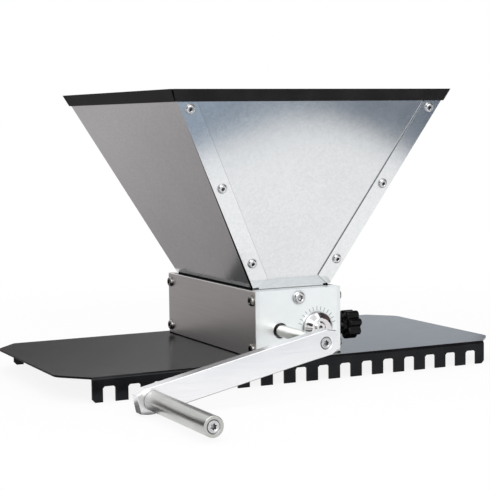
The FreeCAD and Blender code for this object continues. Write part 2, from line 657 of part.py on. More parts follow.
# Idle side: an eccentric bush in each end plate; hand is 1 at the crank's end, -1 at the far end
def make_eccentric(label, hand):
    body = new_body(label)
    face = f"{hand} * (body_len / 2 + drum_gap)"
    drum = new_sketch(body, "XZ_Plane", lift=face)
    draw_circle(drum, "drum_dia")
    solid = pad(body, drum, "drum_len - drum_gap", back=hand < 0)
    outer_y = -hand * value(drum, "body_len / 2 + drum_len")
    soften(body, solid, lambda at, edge: near(at.y, outer_y), "drum_bevel", "PartDesign::Chamfer")
    journal = new_sketch(body, "XZ_Plane", lift=face)
    draw_circle(journal, "journal_dia")
    pad(body, journal, "plate_thick", back=hand > 0)
    bore = new_sketch(body, "XZ_Plane")
    draw_circle(bore, "axle_dia + 2 * running_gap", "0 - throw")
    pocket(body, bore, "4 * body_len", both=True)
    pointer = new_sketch(body, "XZ_Plane", lift=f"{hand} * (body_len / 2 + drum_len)",
                         turn="90 + mark_arc / 2")
    draw_box(pointer, "drum_dia / 2 - drum_bevel", "drum_dia / 2 + 1", "0 - mark_wide", "mark_wide")
    pocket(body, pointer, "drum_bevel + mark_wide", back=hand < 0)
    return place(body, x="axis_spread / 2", z="axis_z", axis=(0, 1, 0), angle="throw_rest")


def make_idle_axle():
    body = new_body("idle_axle")
    rod = new_sketch(body, "XZ_Plane")
    draw_circle(rod, "axle_dia")
    length = "body_len + 2 * drum_len - 1"
    pad(body, rod, length, both=True)
    for hand in (1, -1):
        centre = new_sketch(body, "XZ_Plane", lift=f"{hand} * ({length}) / 2")
        draw_circle(centre, "centre_hole")
        pocket(body, centre, "centre_hole", back=hand < 0)
    return place(body, x="idle_x", z="idle_z")


# Lock knobs on the right cover, each on a stud that bears on the eccentric bush
def make_knob(label, end):
    body = new_body(label)
    neck = new_sketch(body, "YZ_Plane")
    draw_circle(neck, "knob_hub")
    pad(body, neck, "knob_neck")
    disc = new_sketch(body, "YZ_Plane", lift="knob_neck")
    draw_circle(disc, "knob_dia")
    star = pad(body, disc, "knob_thick")
    low = value(disc, "knob_neck")
    high = value(disc, "knob_neck + knob_thick")
    rim = value(disc, "knob_dia / 2")
    soften(body, star, lambda at, edge: near(math.hypot(at.y, at.z), rim)
           and (near(at.x, low) or near(at.x, high)), "knob_thick / 6", "PartDesign::Chamfer")
    scallop = new_sketch(body, "YZ_Plane")
    draw_circle(scallop, "lobe_cut", "knob_dia / 2 + lobe_cut / 5")
    cut = pocket(body, scallop, "4 * knob_thick", both=True)
    round_of(body, cut, scallop, "lobe_count")
    bore = new_sketch(body, "YZ_Plane")
    draw_circle(bore, "stud_dia + 2 * running_gap")
    pocket(body, bore, "stud_reach", back=True)
    return place(body, x="knob_start", y=f"{end} * plate_mid_y", z="axis_z")


def make_stud(label, end):
    body = new_body(label)
    rod = new_sketch(body, "YZ_Plane")
    draw_circle(rod, "stud_dia")
    tip = "axis_spread / 2 + journal_dia / 2 + stud_tip_gap"
    pad(body, rod, f"knob_start + stud_reach - 0.5 - ({tip})")
    return place(body, x=tip, y=f"{end} * plate_mid_y", z="axis_z")


def make_all():
    make_base_plate()
    make_end_plate("end_plate_near", 1)
    make_end_plate("end_plate_far", -1)
    make_side_cover("side_cover_left", -1)
    make_side_cover("side_cover_right", 1)

    m6_screw = make_button_screw("m6_master", "m6", "2.5 * m6_dia")
    for label, side in (("cover_screws_left", -1), ("cover_screws_right", 1)):
        scatter(label, m6_screw, [
            (f"{side} * body_width / 2", f"{end} * plate_mid_y", z, (0, 1, 0), f"{side} * 90")
            for end in (-1, 1)
            for z in ("base_height + cover_screw_inset", "body_top - cover_screw_inset")])
    short_screw = make_button_screw("m6_short_master", "m6", "2 * m6_dia")
    scatter("base_screws", short_screw, [
        (f"{side} * base_screw_x", f"{end} * plate_mid_y", "base_height - base_sheet", (1, 0, 0), "180")
        for side in (-1, 1) for end in (-1, 1)])

    holes = make_bolt_holes()
    screw_hole = doc.addObject("Part::Cylinder", "hopper_screw_hole")
    drive(screw_hole, Radius="m8_dia / 2 + hole_gap / 2", Height="body_len")
    place(screw_hole, y="body_len / 2", z="hopper_screw_z", axis=(1, 0, 0), angle="90")
    make_side_wall("hopper_side_left", -1, holes)
    make_side_wall("hopper_side_right", 1, holes)
    make_end_wall("hopper_end_near", -1, holes, screw_hole)
    make_end_wall("hopper_end_far", 1, holes, screw_hole)
    make_trims()

    m5_bolt = make_button_screw("m5_master", "m5", "m5_nut_high + 2 * hopper_sheet + 1")
    m5_nut = make_nut("m5_nut_master", "m5")
    m8_clamped = "plate_thick + throat_side_gap + hopper_sheet + m8_nut_high"
    m8_screw = make_button_screw("m8_master", "m8", m8_clamped)
    m8_nut = make_nut("m8_nut_master", "m8")
    for word, side in (("near", -1), ("far", 1)):
        scatter(f"hopper_bolts_{word}", m5_bolt, seam_spots(side, "0"))
        scatter(f"hopper_nuts_{word}", m5_nut, seam_spots(side, "2 * hopper_sheet"))
    turn = [(-1, "90"), (1, "0 - 90")]
    scatter("hopper_fix_screws", m8_screw, [
        ("0", f"{end} * body_len / 2", "hopper_screw_z", (1, 0, 0), angle) for end, angle in turn])
    scatter("hopper_fix_nuts", m8_nut, [
        ("0", f"{end} * (throat_y - 2 * hopper_sheet)", "hopper_screw_z", (1, 0, 0), angle)
        for end, angle in turn])

    make_bearings()
    make_drive_shaft()
    make_roller("drive_roller", "shaft_dia", "0 - axis_spread / 2", "axis_z")
    make_crank_arm()
    crank_screw = make_flat_screw("crank_screw", "3 * m6_dia")
    place(crank_screw, "0 - axis_spread / 2", "0 - crank_front", "axis_z", (1, 0, 0), "90")
    spindle = make_flat_screw("grip_spindle", "grip_len + grip_gap + arm_thick")
    place(spindle, "grip_x", "0 - crank_front - grip_gap - grip_len", "grip_z", (1, 0, 0), "90")
    make_grip()

    make_eccentric("eccentric_near", 1)
    make_eccentric("eccentric_far", -1)
    make_idle_axle()
    make_roller("idle_roller", "axle_dia", "idle_x", "idle_z")
    for word, end in (("near", -1), ("far", 1)):
        make_knob(f"lock_knob_{word}", end)
        make_stud(f"lock_stud_{word}", end)


NODES = [
    "base_plate", "base_screws", "end_plate_near", "end_plate_far", "side_cover_left", "side_cover_right",
    "cover_screws_left", "cover_screws_right", "hopper_side_left", "hopper_side_right", "hopper_end_near",
    "hopper_end_far", "rim_trim_near", "rim_trim_right", "rim_trim_far", "rim_trim_left",
    "hopper_bolts_near", "hopper_bolts_far", "hopper_nuts_near", "hopper_nuts_far", "hopper_fix_screws",
    "hopper_fix_nuts", "bearing_outer_rings", "bearing_inner_rings", "drive_shaft", "drive_roller",
    "crank_arm", "crank_screw", "grip_spindle", "grip", "eccentric_near", "eccentric_far", "idle_axle",
    "idle_roller", "lock_knob_near", "lock_knob_far", "lock_stud_near", "lock_stud_far",
]

make_all()
doc.recompute()
for item in doc.Objects:
    if {"Invalid", "Error"} & set(item.State):
        raise SystemExit(f"{item.Label}: {item.State}")

os.makedirs("parts", exist_ok=True)
for label in NODES:
    shape = doc.getObjectsByLabel(label)[0].Shape
    if shape.isNull() or not shape.isValid() or not shape.Solids:
        raise SystemExit(f"{label} has no valid solid")
    shape.exportStep(f"parts/{label}.step")
    print(f"{label}: {len(shape.Solids)} solid(s), {shape.Volume / 1000:.2f} cm3")
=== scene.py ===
import math

import bmesh
import bpy
from mathutils import Matrix, Vector


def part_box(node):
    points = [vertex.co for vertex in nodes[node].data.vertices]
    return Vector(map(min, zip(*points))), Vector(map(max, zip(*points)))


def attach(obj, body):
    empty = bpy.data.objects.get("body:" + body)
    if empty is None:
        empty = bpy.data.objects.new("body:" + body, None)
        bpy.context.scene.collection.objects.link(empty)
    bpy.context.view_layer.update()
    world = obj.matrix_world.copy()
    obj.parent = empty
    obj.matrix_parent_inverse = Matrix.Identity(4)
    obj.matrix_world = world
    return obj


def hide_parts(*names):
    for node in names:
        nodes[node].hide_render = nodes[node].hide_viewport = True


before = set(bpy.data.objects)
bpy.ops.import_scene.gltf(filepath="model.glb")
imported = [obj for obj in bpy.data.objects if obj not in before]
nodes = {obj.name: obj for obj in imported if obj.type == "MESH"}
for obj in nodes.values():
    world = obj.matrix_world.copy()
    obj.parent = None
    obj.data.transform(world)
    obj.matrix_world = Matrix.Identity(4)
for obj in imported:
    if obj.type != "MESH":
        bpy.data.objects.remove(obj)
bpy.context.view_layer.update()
scene = bpy.context.scene
print("frame loaded:", len(nodes), "nodes")


class Wire:
    # wraps a socket, so that shader maths reads as Python

    def __init__(self, tree, socket):
        self.tree = tree
        self.socket = socket

    def node(self, kind, settings=None, inputs=None, output=0):
        # any node: settings go first, then the values or links of its sockets
        made = self.tree.nodes.new(kind)
        for name, setting in (settings or {}).items():
            setattr(made, name, setting)
        for name, given in (inputs or {}).items():
            fillSocket(made.inputs[name], given)
        return Wire(self.tree, made.outputs[output] if made.outputs else None)

    def maths(self, operation, *given):
        return self.node("ShaderNodeMath", {"operation": operation}, dict(enumerate(given)))

    def __add__(self, other):
        return self.maths("ADD", self, other)

    def __radd__(self, other):
        return self.maths("ADD", other, self)

    def __sub__(self, other):
        return self.maths("SUBTRACT", self, other)

    def __rsub__(self, other):
        return self.maths("SUBTRACT", other, self)

    def __mul__(self, other):
        return self.maths("MULTIPLY", self, other)

    def __rmul__(self, other):
        return self.maths("MULTIPLY", other, self)

    def __truediv__(self, other):
        return self.maths("DIVIDE", self, other)

    def __rtruediv__(self, other):
        return self.maths("DIVIDE", other, self)

    def __abs__(self):
        return self.maths("ABSOLUTE", self)

    def step(self, low, high, softly=True):
        # 0 below low, 1 above high, or the other way round where low is the greater
        return self.node(
            "ShaderNodeMapRange", {"interpolation_type": "SMOOTHSTEP" if softly else "LINEAR"},
            {"Value": self, "From Min": low, "From Max": high})

    def noise(self, scale, detail=2, rough=0.5, stretch=None):
        place = self
        if stretch:
            place = self.node("ShaderNodeMapping", None, {"Vector": self, "Scale": stretch})
        return self.node("ShaderNodeTexNoise", None,
                         {"Vector": place, "Scale": scale, "Detail": detail, "Roughness": rough})

    def grains(self, scale):
        # a value of its own for each grain
        return self.node("ShaderNodeTexVoronoi", None, {"Vector": self, "Scale": scale}, 1).axes()[0]

    def axes(self):
        parts = self.node("ShaderNodeSeparateXYZ", None, {0: self}).socket.node.outputs
        return [Wire(self.tree, part) for part in parts]

    def blend(self, low, high):
        # self is the share of high; low and high are colours or wires
        return self.node("ShaderNodeMix", {"data_type": "RGBA"}, {0: self, 6: low, 7: high}, 2)


def fillSocket(socket, given):
    # links a wire or sets a value; a colour may leave out its fourth number
    if isinstance(given, Wire):
        given.tree.links.new(given.socket, socket)
    else:
        socket.default_value = (*given[:3], 1) if socket.type == "RGBA" else given


# what all the metal finishes share: how much a hollow must hide to take painted shade, and the roughness of
# the painted dark in gaps and bends
metalPlan = {"samples": 6, "hidden": (0.4, 0.85), "darkLayerRough": 0.9}


class Finish:
    # one material: its tree, its Principled shader and the places over the piece

    def __init__(self, name, **constants):
        self.material = bpy.data.materials.new(name)
        self.material.use_nodes = True
        self.tree = self.material.node_tree
        self.shader = self.tree.nodes["Principled BSDF"]
        self.base = Wire(self.tree, None)
        self.place = self.base.node("ShaderNodeTexCoord", output=3)
        for socket, value in constants.items():
            self.feed(socket.replace("_", " "), value)

    def feed(self, socket, given):
        fillSocket(self.shader.inputs[socket], given)

    def paintedShade(self, look, colour, alone=True):
        # painted shade: a darker colour in a hollow or, unless alone, beside another piece, where shade
        # falls; the colour where the surface lies open
        settings = {"samples": metalPlan["samples"], "only_local": alone}
        clear = self.base.node("ShaderNodeAmbientOcclusion", settings, {"Distance": look["hollow"]}, 1)
        return clear.step(*metalPlan["hidden"]).blend(look["paintedShade"], colour)

    def layer(self, share, other):
        # the other shader takes over where share is 1
        own = Wire(self.tree, self.shader.outputs[0])
        mixed = self.base.node("ShaderNodeMixShader", None, {0: share, 1: own, 2: other})
        fillSocket(self.tree.nodes["Material Output"].inputs["Surface"], mixed)

    def seam(self, share, colour):
        # a dull dark colour where share is 1: painted shade, such as black in the gap between two pieces
        # where shade falls, and the painted dark reflection along a bend
        self.layer(share, self.base.node("ShaderNodeBsdfPrincipled", None, {
            "Base Color": colour, "Roughness": metalPlan["darkLayerRough"], "Specular IOR Level": 0.0}))

    def bumps(self, height, depth, strength):
        self.feed("Normal", self.base.node("ShaderNodeBump", None, {
            "Height": height, "Distance": depth, "Strength": strength}))


# the body's end faces and the middle of each bush, which the plates' marks and the drums share
bodyPlan = {"face": 0.10775, "bush": (0.0205, 0.05)}

# painted shade in the seams round the body, where shade falls in the gaps: under the hopper's sides and ends,
# on top of the covers and at their foot
seamShadeLook = {"height": 0.0900, "sides": 0.0019, "ends": 0.0001, "below": 0.0002, "soft": 0.0003,
            "reach": 0.0945, "shaded": (0.08, 0.078, 0.076), "paintedBlack": (0.006, 0.006, 0.007)}

# painted dark reflection down the front bend of each side wall, wider towards the foot
bendReflectionLook = {"foot": (0.0432, 0.09395, 0.092), "top": (0.148, 0.148, 0.2835), "long": 0.170, "wide": 0.0050,
            "edge": (0.0004, 0.0006), "soft": 0.0004, "skin": (0.004, 0.003)}

# zinc coated sheet of the hopper walls
# sides and ends scale the colours as painted light: the sides a little lighter and the ends a little darker,
# as light falls on them
sheetLook = {"dull": (0.73, 0.745, 0.755), "pale": (0.82, 0.835, 0.845), "spread": (0.3, 0.68),
             "mix": (0.5, 0.35, 0.15), "crystal": 420, "cloud": 9, "fine": 600, "rough": 0.17,
             "roughCloud": 0.10, "roughFine": 0.06, "bump": 0.00045, "fineBump": 0.012, "strength": 0.25,
             "hollow": 0.0022, "paintedShade": (0.16, 0.17, 0.18), "sides": 1.05, "ends": 0.99}


def paintedBendReflection(x, y, z):
    # 1 close to the corner where a side wall's outer face turns into its front flange, where the dark
    # reflection is painted
    foot, top = bendReflectionLook["foot"], bendReflectionLook["top"]
    rise = z - foot[2]
    high = top[2] - foot[2]
    inset = y + (foot[1] + rise * ((top[1] - foot[1]) / high))
    inside = (foot[0] + rise * ((top[0] - foot[0]) / high)) - abs(x)
    width = (1 - rise / bendReflectionLook["long"]) * bendReflectionLook["wide"]
    line = inset.step(*bendReflectionLook["edge"]) * (inset - width).step(bendReflectionLook["soft"], 0.0)
    return line * inside.step(*bendReflectionLook["skin"])


def makeSheetFinish(name, wall):
    # wall is sides or ends: the painted brightness and the painted seam shade differ, and only the sides get
    # the painted dark reflection along their bends
    finish = Finish(name, Metallic=1.0)
    crystals = finish.place.grains(sheetLook["crystal"])
    cloud = finish.place.noise(sheetLook["cloud"], 5, 0.6)
    fine = finish.place.noise(sheetLook["fine"], 4, 0.7)
    cloudShare, fineShare, crystalShare = sheetLook["mix"]
    shade = (cloud * cloudShare + fine * fineShare + crystals * crystalShare).step(*sheetLook["spread"])
    dull, pale = (tuple(part * sheetLook[wall] for part in sheetLook[look]) for look in ("dull", "pale"))
    # painted shade in the hollows and beside other pieces darkens the sheet's colour
    finish.feed("Base Color", finish.paintedShade(sheetLook, shade.blend(dull, pale), False))
    rough = (cloud - 0.5) * sheetLook["roughCloud"] + (fine - 0.5) * sheetLook["roughFine"]
    finish.feed("Roughness", sheetLook["rough"] + rough)
    finish.bumps(cloud + fine * sheetLook["fineBump"], sheetLook["bump"], sheetLook["strength"])
    x, y, z = finish.place.axes()
    # painted shade below the seam height, where the wall meets the body, and on the sides the painted dark
    # reflection along the bend
    top = seamShadeLook["height"] + seamShadeLook[wall]
    dark = 1 - z.step(top, top + seamShadeLook["soft"])
    if wall == "sides":
        dark = dark.maths("MAXIMUM", dark, paintedBendReflection(x, y, z))
    finish.seam(dark, seamShadeLook["paintedBlack"])
    return finish.material


def brush(finish, look):
    # fine lines along one axis of the mill; gives back the colour that they make
    lines = finish.place.noise(look["grain"], 3, 0.6, look["stretch"])
    cloud = finish.place.noise(look.get("cloud", 30), 3)
    finish.feed("Roughness", look["rough"] + (lines - 0.5) * look.get("roughVary", 0.12))
    finish.bumps(lines, look.get("depth", 0.00002), 0.5)
    return (lines * 0.6 + cloud * 0.4).step(0.3, 0.7).blend(look["dark"], look["pale"])


def makeBrushedFinish(name, look):
    finish = Finish(name, Metallic=look.get("metallic", 1.0))
    colour = brush(finish, look)
    # painted shade darkens the hollows of looks that have a hollow
    finish.feed("Base Color", finish.paintedShade(look, colour) if "hollow" in look else colour)
    return finish.material


# what the black pieces share
blackPlan = {"dust": 40, "dustSpread": (0.35, 0.75), "coatRough": 0.1, "coatIor": 1.3}


def makeCoatFinish(name, look):
    # black coat or moulding with a fine surface of its own
    finish = Finish(name, IOR=look["ior"], Specular_Tint=look.get("tint", (1, 1, 1)),
                    Coat_Weight=look.get("coat", 0.0), Coat_Roughness=blackPlan["coatRough"],
                    Coat_IOR=blackPlan["coatIor"])
    skin = finish.place.noise(look["grain"], 3, 0.55)
    dust = finish.place.noise(blackPlan["dust"], 4, 0.6)
    finish.feed("Base Color", dust.step(*blackPlan["dustSpread"]).blend(look["dark"], look["pale"]))
    finish.feed("Roughness", look["rough"] + (dust - 0.5) * look.get("roughVary", 0.1))
    finish.bumps(skin, look["depth"], 0.5)
    return finish.material


# thick end plates with a scale round each bush, whose sunk marks are darkened inside with painted shade
plateLook = {"dark": (0.86, 0.90, 0.905), "pale": (0.92, 0.95, 0.955), "spread": (0.3, 0.72), "cloud": 45,
             "fine": 900, "rough": 0.34, "roughVary": 0.2, "bump": 0.00004, "hollow": 0.004,
             "paintedShade": (0.16, 0.16, 0.165), "marksFrom": (0.0168, 0.0170), "marksBelow": (0.00028, 0.00012),
             "marksAbove": (0.0006, 0.0005)}


def makePlateFinish():
    finish = Finish("zincPlate", Metallic=0.85)
    x, y, z = finish.place.axes()
    cloud = finish.place.noise(plateLook["cloud"], 4, 0.6)
    fine = finish.place.noise(plateLook["fine"], 2)
    colour = (cloud * 0.8 + fine * 0.2).step(*plateLook["spread"]).blend(plateLook["dark"], plateLook["pale"])
    side, rise = x - bodyPlan["bush"][0], z - bodyPlan["bush"][1]
    outside = side.maths("SQRT", side * side + rise * rise).step(*plateLook["marksFrom"], False)
    # the floor of a mark lies between these two depths under the plate's face
    sunk, shallow = (abs(y).step(*(bodyPlan["face"] - depth for depth in plateLook[key]), False)
                     for key in ("marksBelow", "marksAbove"))
    # painted shade on the floors of the sunk marks, in the dark colour of the hollows
    marked = ((1 - sunk) * shallow * outside).blend(colour, plateLook["paintedShade"])
    # painted shade in the hollows and beside other pieces
    finish.feed("Base Color", finish.paintedShade(plateLook, marked, False))
    finish.feed("Roughness", plateLook["rough"] + (fine - 0.5) * plateLook["roughVary"])
    finish.bumps(fine, plateLook["bump"], 0.4)
    return finish.material


# side covers: brushed along the mill, with paler cut ends and painted shade at the top and foot, where shade
# falls in the gaps
coverLook = {"dark": (0.75, 0.74, 0.725), "pale": (0.81, 0.80, 0.785), "grain": 420, "stretch": (1, 0.03, 1),
             "cloud": 14, "rough": 0.33, "roughVary": 0.05, "depth": 0.0000015, "hollow": 0.002,
             "paintedShade": (0.05, 0.048, 0.046), "cut": (0.86, 0.89, 0.89), "cutFrom": (0.10755, 0.10765),
             "foot": 0.0244}


def makeCoverFinish():
    finish = Finish("brushedCover", Metallic=1.0)
    x, y, z = finish.place.axes()
    side, soft = abs(y), seamShadeLook["soft"]
    colour = side.step(*coverLook["cutFrom"], False).blend(brush(finish, coverLook), coverLook["cut"])
    # painted shade in the hollows and beside other pieces
    finish.feed("Base Color", finish.paintedShade(coverLook, colour, False))
    # painted shade: grey-black on top of the cover under the hopper, and black at the foot where the cover
    # meets the base plate
    low = seamShadeLook["height"] - seamShadeLook["below"]
    shadeUnder = z.step(low, low + soft) * (1 - side.step(seamShadeLook["reach"], seamShadeLook["reach"] + soft))
    foot = 1 - z.step(coverLook["foot"], coverLook["foot"] + soft)
    finish.seam(shadeUnder + foot, shadeUnder.blend(seamShadeLook["paintedBlack"], seamShadeLook["shaded"]))
    return finish.material


# each look below with a hollow darkens its hollows with painted shade, in the dark colour it gives for that
sideFinish = makeSheetFinish("galvanisedSides", "sides")
endFinish = makeSheetFinish("galvanisedEnds", "ends")
plateFinish = makePlateFinish()
coverFinish = makeCoverFinish()
# a darker copy of the stainless fastener for the cover screws: painted shade, standing in for the dark
# surroundings their heads reflect
darkBoltFinish = makeBrushedFinish("darkFastener", {
    "dark": (0.26, 0.25, 0.24), "pale": (0.36, 0.35, 0.34), "grain": 500, "stretch": (1, 1, 1),
    "rough": 0.10, "hollow": 0.003, "paintedShade": (0.02, 0.02, 0.02)})
boltFinish = makeBrushedFinish("stainlessFastener", {
    "dark": (0.52, 0.52, 0.53), "pale": (0.72, 0.72, 0.73), "grain": 500, "stretch": (1, 1, 1),
    "rough": 0.14, "hollow": 0.003, "paintedShade": (0.03, 0.03, 0.03)})
shaftFinish = makeBrushedFinish("groundShaft", {
    "dark": (0.52, 0.52, 0.49), "pale": (0.72, 0.72, 0.68), "grain": 700, "stretch": (1, 1.6, 1),
    "rough": 0.25})
ringFinish = makeBrushedFinish("bearingRing", {
    "dark": (0.40, 0.40, 0.42), "pale": (0.60, 0.60, 0.62), "grain": 600, "stretch": (1, 1, 1),
    "rough": 0.2})
rollerFinish = makeBrushedFinish("hardenedRoller", {
    "dark": (0.16, 0.16, 0.17), "pale": (0.36, 0.36, 0.37), "grain": 300, "stretch": (1, 0.2, 1),
    "rough": 0.36, "cloud": 25})
drumFinish = makeBrushedFinish("chromedDrum", {
    "dark": (0.68, 0.67, 0.68), "pale": (0.80, 0.79, 0.80), "grain": 240, "stretch": (1, 1, 1),
    "rough": 0.07, "roughVary": 0.04, "depth": 0.000006, "hollow": 0.003, "paintedShade": (0.12, 0.11, 0.11)})
armFinish = makeBrushedFinish("brightArm", {
    "dark": (0.87, 0.87, 0.885), "pale": (0.93, 0.93, 0.945), "grain": 420, "stretch": (0.05, 1, 1),
    "rough": 0.26, "roughVary": 0.05, "depth": 0.000004, "metallic": 0.95})
gripFinish = makeBrushedFinish("turnedGrip", {
    "dark": (0.47, 0.48, 0.46), "pale": (0.60, 0.60, 0.58), "grain": 480, "stretch": (1, 0.05, 1),
    "rough": 0.29, "roughVary": 0.08})
coatFinish = makeCoatFinish("blackPowderCoat", {
    "dark": (0.005, 0.005, 0.006), "pale": (0.010, 0.010, 0.011), "grain": 900, "rough": 0.19,
    "roughVary": 0.06, "depth": 0.000012, "ior": 1.25, "tint": (0.93, 0.98, 1)})
trimFinish = makeCoatFinish("blackEdgeTrim", {
    "dark": (0.005, 0.0045, 0.005), "pale": (0.011, 0.010, 0.011), "grain": 500, "rough": 0.5,
    "depth": 0.00003, "ior": 1.27})
knobFinish = makeCoatFinish("blackMoulding", {
    "dark": (0.002, 0.002, 0.0025), "pale": (0.004, 0.004, 0.005), "grain": 700, "rough": 0.26,
    "coat": 0.2, "depth": 0.00002, "ior": 1.2})

nodeFinishes = {
    "base_plate": coatFinish, "end_plate": plateFinish, "side_cover": coverFinish,
    "cover_screws": darkBoltFinish, "base_screws": boltFinish, "hopper_side": sideFinish,
    "hopper_end": endFinish, "rim_trim": trimFinish, "hopper_bolts": boltFinish,
    "hopper_nuts": boltFinish, "hopper_fix": boltFinish, "bearing": ringFinish,
    "drive_shaft": shaftFinish, "idle_axle": drumFinish, "drive_roller": rollerFinish,
    "idle_roller": rollerFinish, "crank_arm": armFinish, "crank_screw": boltFinish,
    "grip_spindle": boltFinish, "grip": gripFinish, "eccentric": drumFinish,
    "lock_knob": knobFinish, "lock_stud": boltFinish}


def entryFor(table, name):
    # the value under the longest key that the node's name starts with
    fits = [key for key in table if name.startswith(key)]
    return table[max(fits, key=len)] if fits else None


for name, node in nodes.items():
    node.data.materials.clear()
    node.data.materials.append(entryFor(nodeFinishes, name))
print("finishes set:", len(bpy.data.materials))


# softened edges of the plates and sheets that come from the frame
edgeRounding = {"base_plate": 0.0004, "end_plate": 0.0003, "side_cover": 0.0002, "hopper_side": 0.0007,
                "hopper_end": 0.0002, "rim_trim": 0.0005, "crank_arm": 0.0003}
roundingPlan = {"weld": 0.00001, "flat": 0.6, "sharp": 28, "segments": 2}


def roundEdges(node, width):
    weld = node.modifiers.new("weld", "WELD")
    weld.merge_threshold = roundingPlan["weld"]
    flat = node.modifiers.new("flat", "DECIMATE")
    flat.decimate_type = "DISSOLVE"
    flat.angle_limit = math.radians(roundingPlan["flat"])
    rounding = node.modifiers.new("rounding", "BEVEL")
    rounding.width = width
    rounding.segments = roundingPlan["segments"]
    rounding.limit_method = "ANGLE"
    rounding.angle_limit = math.radians(roundingPlan["sharp"])
    rounding.harden_normals = True
    rounding.use_clamp_overlap = True


for name, node in nodes.items():
    width = entryFor(edgeRounding, name)
    if width:
        roundEdges(node, width)
print("edges rounded")


# turned and moulded pieces: rings of points about an axis, joined one to the next

def circle(radius, height, count=48):
    turns = [2 * math.pi * number / count for number in range(count)]
    return [Vector((radius * math.cos(turn), radius * math.sin(turn), height)) for turn in turns]


def shaped(height, count, reachOf):
    # a ring whose reach depends on the turn
    ring = []
    for spot in circle(1, height, count):
        reach = reachOf(math.atan2(spot.y, spot.x))
        ring.append(Vector((spot.x * reach, spot.y * reach, height)))
    return ring


def hexagon(across, height):
    # a hexagon by its width across flats, whose corners fall on the points of a ring
    return shaped(height, 48, lambda turn: across / 2 / math.cos(turn % (math.pi / 3) - math.pi / 6))


def lobes(outer, depth, count, height, points, power=1.0):
    # a star of round lobes; outer is the reach of a lobe and depth the reach less in a valley
    return shaped(height, points, lambda turn: outer - depth * (0.5 - 0.5 * math.cos(count * turn)) ** power)


def quarter(steps, first=0):
    # sine and cosine at equal steps over a quarter turn
    for number in range(first, steps + 1):
        turn = math.radians(number * 90 / steps)
        yield math.sin(turn), math.cos(turn)


def addRings(shape, rings, stand, around=False):
    # joins the rings, moved to where the piece stands; around joins the last to the first
    loops = [[shape.verts.new(stand @ spot) for spot in ring] for ring in rings]
    count = len(loops[0])
    pairs = list(zip(loops, loops[1:])) + ([(loops[-1], loops[0])] if around else [])
    for low, high in pairs:
        for number in range(count):
            after = (number + 1) % count
            shape.faces.new((low[number], low[after], high[after], high[number]))
    if not around:
        shape.faces.new(list(reversed(loops[0])))
        shape.faces.new(loops[-1])


def finishPiece(name, shape, body, sharp=32):
    # turns the shape into the piece that takes the place of the node, in the node's finish
    mesh = bpy.data.meshes.new("look_" + name)
    bmesh.ops.recalc_face_normals(shape, faces=shape.faces[:])
    shape.to_mesh(mesh)
    shape.free()
    mesh.polygons.foreach_set("use_smooth", [True] * len(mesh.polygons))
    mesh.set_sharp_from_angle(angle=math.radians(sharp))
    mesh.materials.append(entryFor(nodeFinishes, name))
    piece = bpy.data.objects.new("look_" + name, mesh)
    scene.collection.objects.link(piece)
    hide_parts(name)
    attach(piece, body)


def solidsOf(name):
    # the points of each separate solid in a node
    shape = bmesh.new()
    shape.from_mesh(nodes[name].data)
    bmesh.ops.remove_doubles(shape, verts=shape.verts[:], dist=0.000002)
    seen = set()
    found = []
    for first in shape.verts:
        if first in seen:
            continue
        seen.add(first)
        waiting, solid = [first], []
        while waiting:
            vert = waiting.pop()
            solid.append(vert.co.copy())
            for link in vert.link_edges:
                other = link.other_vert(vert)
                if other not in seen:
                    seen.add(other)
                    waiting.append(other)
        found.append(solid)
    shape.free()
    return found


def standOf(points, axis, turn=0.0):
    # the place of a round solid: its middle line along axis, with the far end at zero
    turned = Vector(axis).normalized().to_track_quat("Z", "Y").to_matrix()
    spots = [turned.inverted() @ point for point in points]
    middle = [(min(spot[side] for spot in spots) + max(spot[side] for spot in spots)) / 2
              for side in (0, 1)]
    stand = turned @ Vector((*middle, max(spot.z for spot in spots)))
    return Matrix.Translation(stand) @ turned.to_4x4() @ Matrix.Rotation(turn, 4, "Z")


def wallLean(name):
    # how far an end wall leans out from upright, from its largest face
    face = max(nodes[name].data.polygons, key=lambda polygon: polygon.area)
    return math.asin(min(1, abs(face.normal.z)))


lean = wallLean("hopper_end_near")


def outward(side):
    # straight out of the near end wall for -1 and of the far one for 1
    return Vector((0, side * math.cos(lean), -math.sin(lean)))


# screws with a domed head and a hexagon socket
buttonSizes = {
    "m5": {"head": 0.0092, "high": 0.0027, "key": 0.0030, "shank": 0.0050, "long": 0.0080, "pitch": 0.0008},
    "m6": {"head": 0.0105, "high": 0.0033, "key": 0.0040, "shank": 0.0060, "long": 0.0150, "pitch": 0.0010},
    "m6Short": {"head": 0.0105, "high": 0.0033, "key": 0.0040, "shank": 0.0060, "long": 0.0120,
                "pitch": 0.0010},
    "m8": {"head": 0.0126, "high": 0.0044, "key": 0.0050, "shank": 0.0080, "long": 0.0233,
           "pitch": 0.00125}}
# rim, mouth, socket and drill: shares of the head's radius or the key's width, each with a share of the
# head's height below its top; ridge, tip, runIn and runOut: shares of the thread's pitch; turns in radians
buttonForm = {"rim": ((0.965, 1), (1, 0.96), (1, 0.78)), "flat": 0.60, "domeSteps": 8,
              "mouth": ((0.66, 0), (0.63, 0.03)), "socket": ((1.02, 0.1), (1, 0.16), (1, 0.95)),
              "drill": (0.2, 1.1), "ridge": ((0.0, 0.0), (0.25, 0.0), (0.5, 0.45), (0.75, 0.45)),
              "tip": 0.6, "runIn": 0.4, "runOut": 0.5, "firstTurn": 0.7, "nextTurn": 1.3}


def threadRings(size, low, high):
    # ridges along the shank between two heights
    rings = []
    for number in range(int((high - low) / size["pitch"])):
        start = low + number * size["pitch"]
        rings += [circle(size["shank"] / 2 - sink * size["pitch"], start + share * size["pitch"])
                  for share, sink in buttonForm["ridge"]]
    return rings


